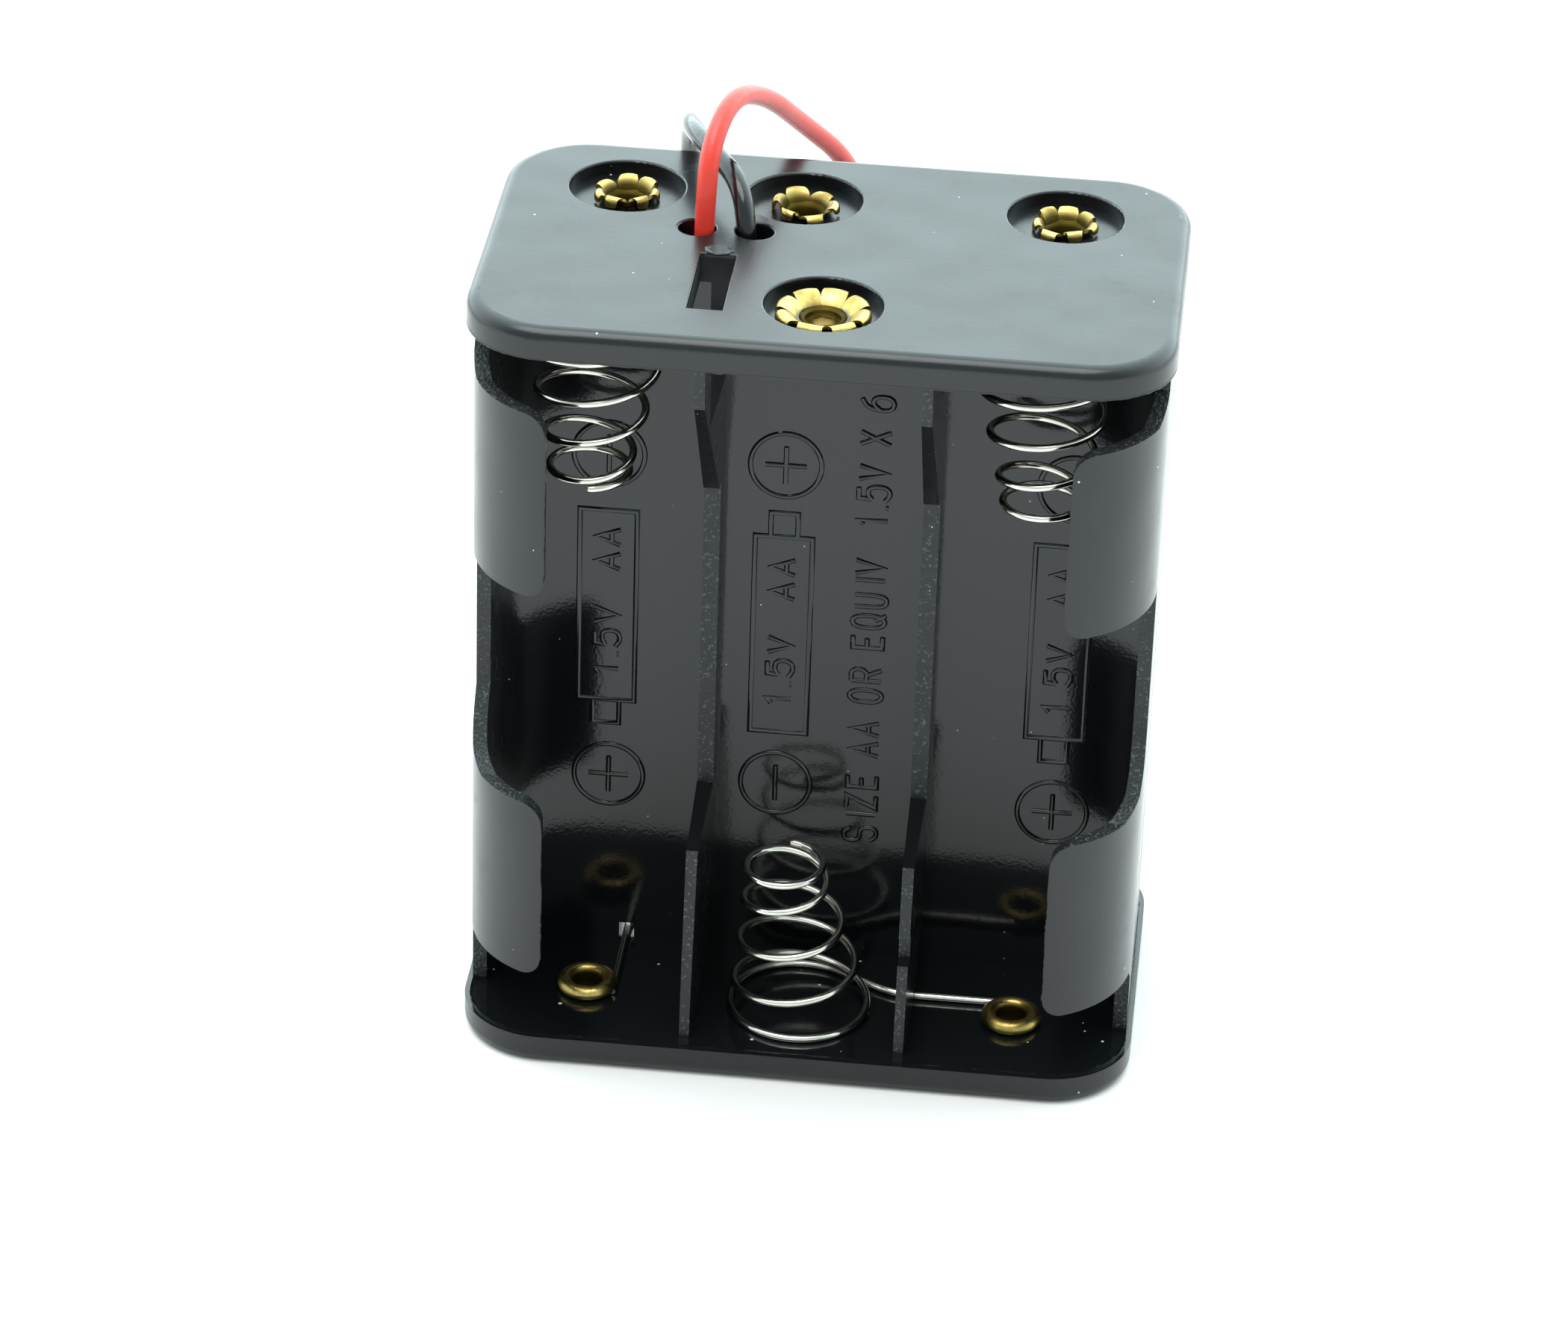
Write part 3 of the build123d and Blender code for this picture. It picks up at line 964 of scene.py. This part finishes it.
        # The painted shade's share rides on the mesh.
        layer = piece.data.attributes.new("painted_shade", "FLOAT", "POINT")
        layer.data.foreach_set("value", painted_shade.astype(np.float32))
        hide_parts(self.name)
        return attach(piece, BODY)


# ----------------------------------------------------------------- moulding
class Stroke(Enum):
    """How a letter's stroke runs through its points."""

    STRAIGHT = "straight"
    CURVED = "curved"
    ROUND = "round"


# Each letter is strokes through (across, up) points, with its width and height as 1.
BOWL = (Stroke.ROUND, [(0.08, 0.12), (0.08, 0.88), (0.5, 1.1), (0.92, 0.88), (0.92, 0.12),
                       (0.5, -0.1)])
LETTERS = {
    "1": [(Stroke.STRAIGHT, [(0.2, 0.8), (0.5, 1), (0.5, 0)])],
    ".": [(Stroke.STRAIGHT, [(0.5, -0.02), (0.5, 0.08)])],
    "5": [(Stroke.STRAIGHT, [(0.9, 1), (0.2, 1), (0.15, 0.55)]),
          (Stroke.CURVED, [(0.15, 0.55), (0.5, 0.72), (1, 0.62), (1, 0.06), (0.5, -0.08),
                           (0.06, 0.12)])],
    "6": [(Stroke.CURVED, [(0.8, 1), (0.3, 0.85), (0.06, 0.5), (0.06, 0.05), (0.5, -0.1),
                           (0.95, 0.05), (0.95, 0.55), (0.5, 0.66), (0.1, 0.4)])],
    "A": [(Stroke.STRAIGHT, [(0.05, 0), (0.5, 1), (0.95, 0)]),
          (Stroke.STRAIGHT, [(0.24, 0.34), (0.76, 0.34)])],
    "E": [(Stroke.STRAIGHT, [(0.9, 1), (0.12, 1), (0.12, 0), (0.9, 0)]),
          (Stroke.STRAIGHT, [(0.12, 0.52), (0.75, 0.52)])],
    "I": [(Stroke.STRAIGHT, [(0.5, 0), (0.5, 1)])],
    "O": [BOWL],
    "Q": [BOWL, (Stroke.STRAIGHT, [(0.6, 0.28), (0.98, -0.08)])],
    "R": [(Stroke.STRAIGHT, [(0.12, 0), (0.12, 1)]),
          (Stroke.CURVED, [(0.12, 1), (0.75, 1.03), (1, 0.76), (0.75, 0.48), (0.12, 0.5)]),
          (Stroke.STRAIGHT, [(0.5, 0.5), (0.92, 0)])],
    "S": [(Stroke.CURVED, [(0.92, 0.85), (0.6, 1.08), (0.02, 1), (0.05, 0.5), (0.95, 0.52),
                           (1, -0.02), (0.4, -0.08), (0.06, 0.15)])],
    "U": [(Stroke.CURVED, [(0.1, 1), (0.1, 0.2), (0.25, -0.08), (0.75, -0.08), (0.9, 0.2),
                           (0.9, 1)])],
    "V": [(Stroke.STRAIGHT, [(0.05, 1), (0.5, 0), (0.95, 1)])],
    "X": [(Stroke.STRAIGHT, [(0.08, 0), (0.92, 1)]), (Stroke.STRAIGHT, [(0.08, 1), (0.92, 0)])],
    "Z": [(Stroke.STRAIGHT, [(0.08, 1), (0.92, 1), (0.08, 0), (0.92, 0)])],
}


@dataclass
class RaisedMarks:
    """Low rounded lines on the web, as a single cutter leaves them in the mould:
    polarity signs, cell outlines and plain words."""

    width: float = 0.4
    height: float = 0.17
    sunk: float = 0.03

    def ridge(self, path: np.ndarray, closed: bool = True) -> tuple:
        """A low ridge along a flat path of (X, Z) points on the web.

        The section is half a flat oval. At each corner it is set along the line
        that halves the corner, lengthened so that the ridge keeps its width.

        Args:
            path: The ridge's middle line, millimetres.
            closed: Whether it ends where it begins.

        Returns:
            The shell's points and faces.
        """
        if closed:
            before, after = path - np.roll(path, 1, 0), np.roll(path, -1, 0) - path
        else:
            ahead = np.diff(path, axis=0)
            before = np.concatenate([ahead[:1], ahead])
            after = np.concatenate([ahead, ahead[-1:]])
        before = before / np.linalg.norm(before, axis=1, keepdims=True)
        after = after / np.linalg.norm(after, axis=1, keepdims=True)
        n1 = np.stack([-before[:, 1], before[:, 0]], 1)
        n2 = np.stack([-after[:, 1], after[:, 0]], 1)
        miter = (n1 + n2) / np.maximum(1 + (n1 * n2).sum(1, keepdims=True), 0.5)
        t = np.linspace(0, np.pi, 7)
        across, out = -self.width / 2 * np.cos(t), self.height * np.sin(t) - self.sunk
        flat = path[:, None] + miter[:, None] * across[None, :, None]
        rows = np.stack([flat[..., 0], np.broadcast_to(WEB_FACE - out, flat.shape[:2]),
                         flat[..., 1]], -1)
        return loft(rows, ring=closed)

    def eased(self, points: np.ndarray, closed: bool) -> np.ndarray:
        """Cut each corner at a quarter of its sides, three times, to make a curve.

        Args:
            points: The corners.
            closed: Whether the last meets the first.

        Returns:
            The curve's points.
        """
        for _ in range(3):
            following = np.roll(points, -1, 0)
            cut = np.stack([0.75 * points + 0.25 * following, 0.25 * points + 0.75 * following], 1)
            cut = cut.reshape(-1, 2)
            points = cut if closed else np.concatenate([points[:1], cut[:-2], points[-1:]])
        return points

    def circle(self, x: float, z: float, radius: float = 2.5) -> tuple:
        """A raised circle."""
        a = np.linspace(0, 2 * np.pi, 64, endpoint=False)
        return self.ridge(np.stack([x + radius * np.cos(a), z + radius * np.sin(a)], 1))

    def sign(self, x: float, z: float, plus: bool) -> list:
        """A polarity sign in a circle, read from the side; a minus is an upright bar.

        Args:
            x: The circle's middle across the web, millimetres.
            z: The circle's middle up the web.
            plus: Whether a second bar crosses the first.

        Returns:
            The sign's shells.
        """
        shells = [self.circle(x, z),
                  self.ridge(np.array([(x, z - 1.45), (x, z + 1.45)]), closed=False)]
        if plus:
            shells.append(self.ridge(np.array([(x - 1.45, z), (x + 1.45, z)]), closed=False))
        return shells

    def cell(self, x: tuple, z: tuple, nub: float) -> list:
        """The outline of a cell with its nub.

        Args:
            x: The outline's left and right, millimetres.
            z: Its lower and upper end.
            nub: How far the nub stands out, above when positive and below when negative.

        Returns:
            The outline's shells.
        """
        left, right = x
        low, high = z
        middle, half = (left + right) / 2, 0.95
        end, far = (high, high + nub) if nub > 0 else (low, low + nub)
        body = np.array([(left, low), (right, low), (right, high), (left, high)])
        cap = np.array([(middle - half, end), (middle - half, far), (middle + half, far),
                        (middle + half, end)])
        return [self.ridge(body), self.ridge(cap, closed=False)]

    def words(self, text: str, x: float, z: float, tall: float, pitch: float) -> list:
        """Plain words that read upwards, each letter a few strokes.

        Args:
            text: What they say.
            x: Where the letters' middles are, millimetres.
            z: Where the line starts.
            tall: The capitals' height.
            pitch: From one letter to the next; a letter takes seven tenths of it.

        Returns:
            The strokes' shells.
        """
        shells, reach = [], z
        for letter in text:
            for kind, points in LETTERS.get(letter, []):
                held = np.array(points, float)
                if kind is not Stroke.STRAIGHT:
                    held = self.eased(held, kind is Stroke.ROUND)
                path = np.stack([x - (held[:, 1] - 0.5) * tall,
                                 reach + held[:, 0] * 0.7 * pitch], 1)
                shells.append(self.ridge(path, closed=kind is Stroke.ROUND))
            reach += pitch * (0.62 if letter in "1.I " else 1.0)
        return shells

    def build(self, wardrobe: Wardrobe) -> list:
        """Raise the marks of the three front bays.

        Args:
            wardrobe: The finishes.

        Returns:
            The signs and the words.
        """
        plastic = wardrobe.of(Finish.PLASTIC)
        shells = [
            *self.sign(-2.8, 42.1, True), *self.cell((-4.8, -0.75), (20.5, 36.4), 1.9),
            *self.sign(-2.85, 16.25, False),
            *self.sign(-15.2, 42.0, False), *self.cell((-17.2, -13.15), (22.1, 37.5), -1.9),
            *self.sign(-14.9, 15.9, True),
            *self.sign(17.4, 41.9, False), *self.cell((14.9, 19.0), (21.7, 37.3), -1.9),
            *self.sign(17.1, 15.6, True)]
        letters = self.words("SIZE AA OR EQUIV  1.5V X 6", 3.4, 11.9, 2.1, 1.68)
        for x, z in ((-2.8, 22.6), (-15.2, 24.0), (16.95, 23.6)):
            letters += self.words("1.5V  AA", x, z, 1.75, 1.95)
        made = [piece_from("web_raised_signs", shells, plastic, 60.0),
                piece_from("web_raised_words", letters, plastic, 60.0)]
        for piece in made:
            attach(piece, BODY)
        return made


@dataclass
class MouldFlash:
    """Thin ragged fins where the mould's halves met, round both plates and down the
    free ends of the fingers, and the scar behind the slot."""

    width: float = 48.0
    depth: float = 30.0
    corner: float = 6.0
    finger_end: float = 17.727
    finger_front: float = 15.937
    finger_spans: tuple = ((9.4, 20.4), (40.4, 51.0))
    finger_steps: int = 90
    seed: int = 4

    def outline(self, count: int = 900) -> tuple[np.ndarray, np.ndarray]:
        """The plates' outline as even steps, with the outward direction at each.

        Args:
            count: How many steps.

        Returns:
            Points and unit normals, both (X, Y), from the middle of the right side.
        """
        a = np.radians(np.arange(0, 90.1, 3.0))
        arc = np.stack([np.cos(a), np.sin(a)], 1)
        centres = np.array([(1, 1), (-1, 1), (-1, -1), (1, -1)]) * (
            np.array([self.width, self.depth]) / 2 - self.corner)
        turned = [np.array([(c, -s), (s, c)]) for c, s in ((1, 0), (0, 1), (-1, 0), (0, -1))]
        normals = np.concatenate([arc @ turn.T for turn in turned])
        points = np.concatenate([centre + self.corner * (arc @ turn.T)
                                 for centre, turn in zip(centres, turned)])
        closed = np.concatenate([points, points[:1]])
        held = np.concatenate([normals, normals[:1]])
        run = np.concatenate([[0], np.cumsum(np.linalg.norm(np.diff(closed, axis=0), axis=1))])
        at = np.linspace(0, run[-1], count, endpoint=False)
        pick = [np.stack([np.interp(at, run, values[:, k]) for k in (0, 1)], 1)
                for values in (closed, held)]
        return pick[0], pick[1] / np.linalg.norm(pick[1], axis=1, keepdims=True)

    def fin(self, foot: np.ndarray, side: np.ndarray, up: np.ndarray, tall: np.ndarray,
            ring: bool, thick: float = 0.16) -> tuple:
        """A fin on a line of points: a thin wedge whose height changes along it.

        Args:
            foot: Points along the edge.
            side: Unit direction across the fin at each point.
            up: Unit direction that it stands in.
            tall: Its height at each point, millimetres.
            ring: Whether the line closes on itself.
            thick: Its thickness at the foot.

        Returns:
            The shell's points and faces.
        """
        height = tall[:, None]
        rows = np.stack([foot - side * thick - up * 0.03, foot + side * 0.015 - up * 0.03,
                         foot + side * 0.01 + up * height, foot - side * 0.03 + up * height], 1)
        return loft(rows, ring=ring)

    def ragged(self, count: int, low: float, high: float,
               chance: np.random.Generator) -> np.ndarray:
        """Heights that wander between two bounds, with a few taller tears.

        Args:
            count: How many heights.
            low: The least, millimetres.
            high: The most.
            chance: Where the wandering comes from.

        Returns:
            The heights, each the low bound plus a share of the range, made of a
            slow running mean and the peaks of a quick one.
        """
        slow = soften(chance.uniform(0, 1, count), 6)
        quick = soften(chance.uniform(0, 1, count), 1)
        share = np.clip((slow - 0.42) * 5, 0, 1) * 0.5 + np.clip(quick - 0.62, 0, 1) * 1.6
        return low + (high - low) * np.clip(share, 0, 1)

    def scar(self) -> tuple:
        """A low oval scar behind the slot, highest a little inside its edge.

        Each loop is an oval at one share of the scar's half sizes, lifted by its
        own height, and its radius wavers by two sines of the angle.

        Returns:
            The shell's points and faces.
        """
        a = np.linspace(0, 2 * np.pi, 40, endpoint=False)
        out = np.array([1.0, 0.97, 0.9, 0.8, 0.5, 0.15])
        rise = np.array([-0.02, 0.1, 0.13, 0.07, 0.05, 0.06])
        wobble = 1 + 0.05 * np.sin(3 * a) + 0.03 * np.sin(7 * a + 1)
        x = -7.83 + 1.0 * out[:, None] * np.cos(a) * wobble
        y = -1.2 + 0.75 * out[:, None] * np.sin(a) * wobble
        return loft(np.stack([x, y, np.broadcast_to(HEIGHT + rise[:, None], x.shape)], -1))

    def build(self, wardrobe: Wardrobe) -> bpy.types.Object:
        """Raise every fin and the scar as one piece.

        Args:
            wardrobe: The finishes.

        Returns:
            The flash.
        """
        chance = np.random.default_rng(self.seed)
        points, normals = self.outline()
        level = np.zeros((len(points), 1))
        side = np.concatenate([normals, level], 1)
        up = np.broadcast_to(np.array([0.0, 0.0, 1.0]), side.shape)
        shells = [
            self.fin(np.concatenate([points - 0.35 * normals, level + PLATE], 1), side, up,
                     self.ragged(len(points), 0.05, 0.34, chance), True, 0.28),
            self.fin(np.concatenate([points, level + CEILING], 1), side, -up,
                     self.ragged(len(points), 0.02, 0.16, chance), True),
            self.scar()]
        for x in (-1, 1):
            for y in (-1, 1):
                for low, high in self.finger_spans:
                    z = np.linspace(low, high, self.finger_steps)
                    foot = np.stack([np.full_like(z, x * self.finger_end),
                                     np.full_like(z, y * (self.finger_front - 0.02)), z], 1)
                    outward = np.broadcast_to(np.array([0.0, float(y), 0.0]), foot.shape)
                    inward = np.broadcast_to(np.array([-float(x), 0.0, 0.0]), foot.shape)
                    tall = self.ragged(self.finger_steps, 0.02, 0.16, chance)
                    shells.append(self.fin(foot, outward, inward, tall, False))
        piece = piece_from("mould_flash", shells, wardrobe.of(Finish.PLASTIC), 30.0)
        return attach(piece, BODY)


@dataclass
class Moulding:
    """The black moulding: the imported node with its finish."""

    node: str = "holder_moulding"

    def build(self, wardrobe: Wardrobe) -> bpy.types.Object:
        """Dress the node.

        Args:
            wardrobe: The finishes.

        Returns:
            The moulding.
        """
        piece = frame["nodes"][self.node]
        dress(piece, wardrobe.of(Finish.PLASTIC))
        return piece


def dress(piece: bpy.types.Object, material: bpy.types.Material) -> None:
    """Give a node a finish in its object's slots, leaving its mesh alone.

    Args:
        piece: The node.
        material: Its finish.
    """
    for slot in piece.material_slots:
        slot.link = "OBJECT"
        slot.material = material


# --------------------------------------------------------------------- main
RED_ROUTE = [
    (-9.27, 2.3, 56.0), (-9.25, 2.35, 60.1), (-9.1, 3.5, 64.2), (-8.0, 7.7, 66.2),
    (-6.2, 13.0, 63.8), (-4.2, 18.2, 59.5), (-1.0, 22.8, 54.6), (0.6, 25.2, 47.8),
    (0.2, 26.0, 39.0), (0.2, 26.4, 28.5), (0.6, 27.2, 18.2), (1.8, 29.4, 9.4),
    (4.8, 32.2, 3.0), (9.2, 35.6, 0.72), (12.6, 40.6, 0.72), (9.4, 45.8, 0.72),
    (2.6, 47.2, 0.72), (-5.4, 45.6, 0.72), (-13.0, 42.4, 0.72)]
BLACK_ROUTE = [
    (-6.22, 2.3, 56.0), (-6.3, 2.4, 59.0), (-7.2, 4.4, 61.3), (-9.2, 7.7, 61.6),
    (-11.3, 12.2, 61.3), (-12.0, 17.4, 59.6), (-12.4, 21.4, 54.7), (-12.8, 23.8, 46.6),
    (-13.0, 25.2, 37.0), (-13.3, 26.0, 27.0), (-14.0, 27.6, 17.4), (-15.8, 30.8, 9.2),
    (-18.6, 35.6, 3.4), (-21.4, 41.8, 0.72), (-20.0, 48.6, 0.72), (-13.2, 51.8, 0.72),
    (-4.4, 52.0, 0.72), (4.2, 51.2, 0.72), (11.8, 51.4, 0.72)]

EYELETS = [
    Eyelet("front_middle_eyelet", 0.0, -OFFSET, True, 3.2, 8, 0.12, 3,
           crest=0.5, gap=0.26, mouth=2.35, bore=1.3),
    Eyelet("rear_left_eyelet", -PITCH, OFFSET, True, 2.3, 7, 0.8, 5),
    Eyelet("rear_right_eyelet", PITCH, OFFSET, True, 2.3, 7, 0.6, 8),
    Eyelet("negative_terminal_eyelet", -2.9, OFFSET, True, 2.3, 6, 1.0, 11),
    Eyelet("front_left_eyelet", -PITCH, -OFFSET, False, 2.25, 6, 0.7, 14),
    Eyelet("front_right_eyelet", PITCH, -OFFSET, False, 2.25, 6, 0.7, 17),
    Eyelet("rear_middle_eyelet", 0.0, OFFSET, False, 2.25, 6, 0.7, 21),
]
SPRINGS = [
    ConicalSpring("front_middle", 0.0, -OFFSET, False, 0.0, 16.1, lean=(-1.4, 0.0)),
    ConicalSpring("rear_right", PITCH, OFFSET, False, 180.0, 16.1, lean=(0.3, 0.2)),
    ConicalSpring("rear_left", -PITCH, OFFSET, False, -90.0, 16.8, lean=(-0.2, 0.1)),
    ConicalSpring("front_left", -PITCH, -OFFSET, True, 0.0, 16.1, lean=(-0.4, 0.2)),
    ConicalSpring("front_right", PITCH, -OFFSET, True, 90.0, 16.8, lean=(0.2, 0.0)),
    ConicalSpring("rear_middle", 0.0, OFFSET, True, 125.0, 0.0, lean=(0.2, -0.2)),
]


def main() -> None:
    """Build the studio, then every piece in order, reporting each."""
    wardrobe = Wardrobe()
    ViewingCamera().build()
    Studio().build(wardrobe)
    for lead in (LeadCord("red", Finish.RED, RED_ROUTE, 126.9),
                 LeadCord("black", Finish.BLACK, BLACK_ROUTE, 127.1)):
        for piece in lead.build(wardrobe):
            log.info("lead piece %s", piece.name)
    log.info("moulding %s", Moulding().build(wardrobe).name)
    for piece in RaisedMarks().build(wardrobe):
        log.info("mark %s", piece.name)
    log.info("flash %s", MouldFlash().build(wardrobe).name)
    for eyelet in EYELETS:
        log.info("eyelet %s", eyelet.build(wardrobe).name)
    for spring in SPRINGS:
        log.info("spring %s", spring.build(wardrobe).name)
    for colour in ("red", "black"):
        dress(frame["nodes"][f"{colour}_lead_bare_end"], wardrobe.of(Finish.TINNED))
        dress(frame["nodes"][f"{colour}_solder_joint"], wardrobe.of(Finish.SOLDER))


if __name__ == "__main__":
    main()
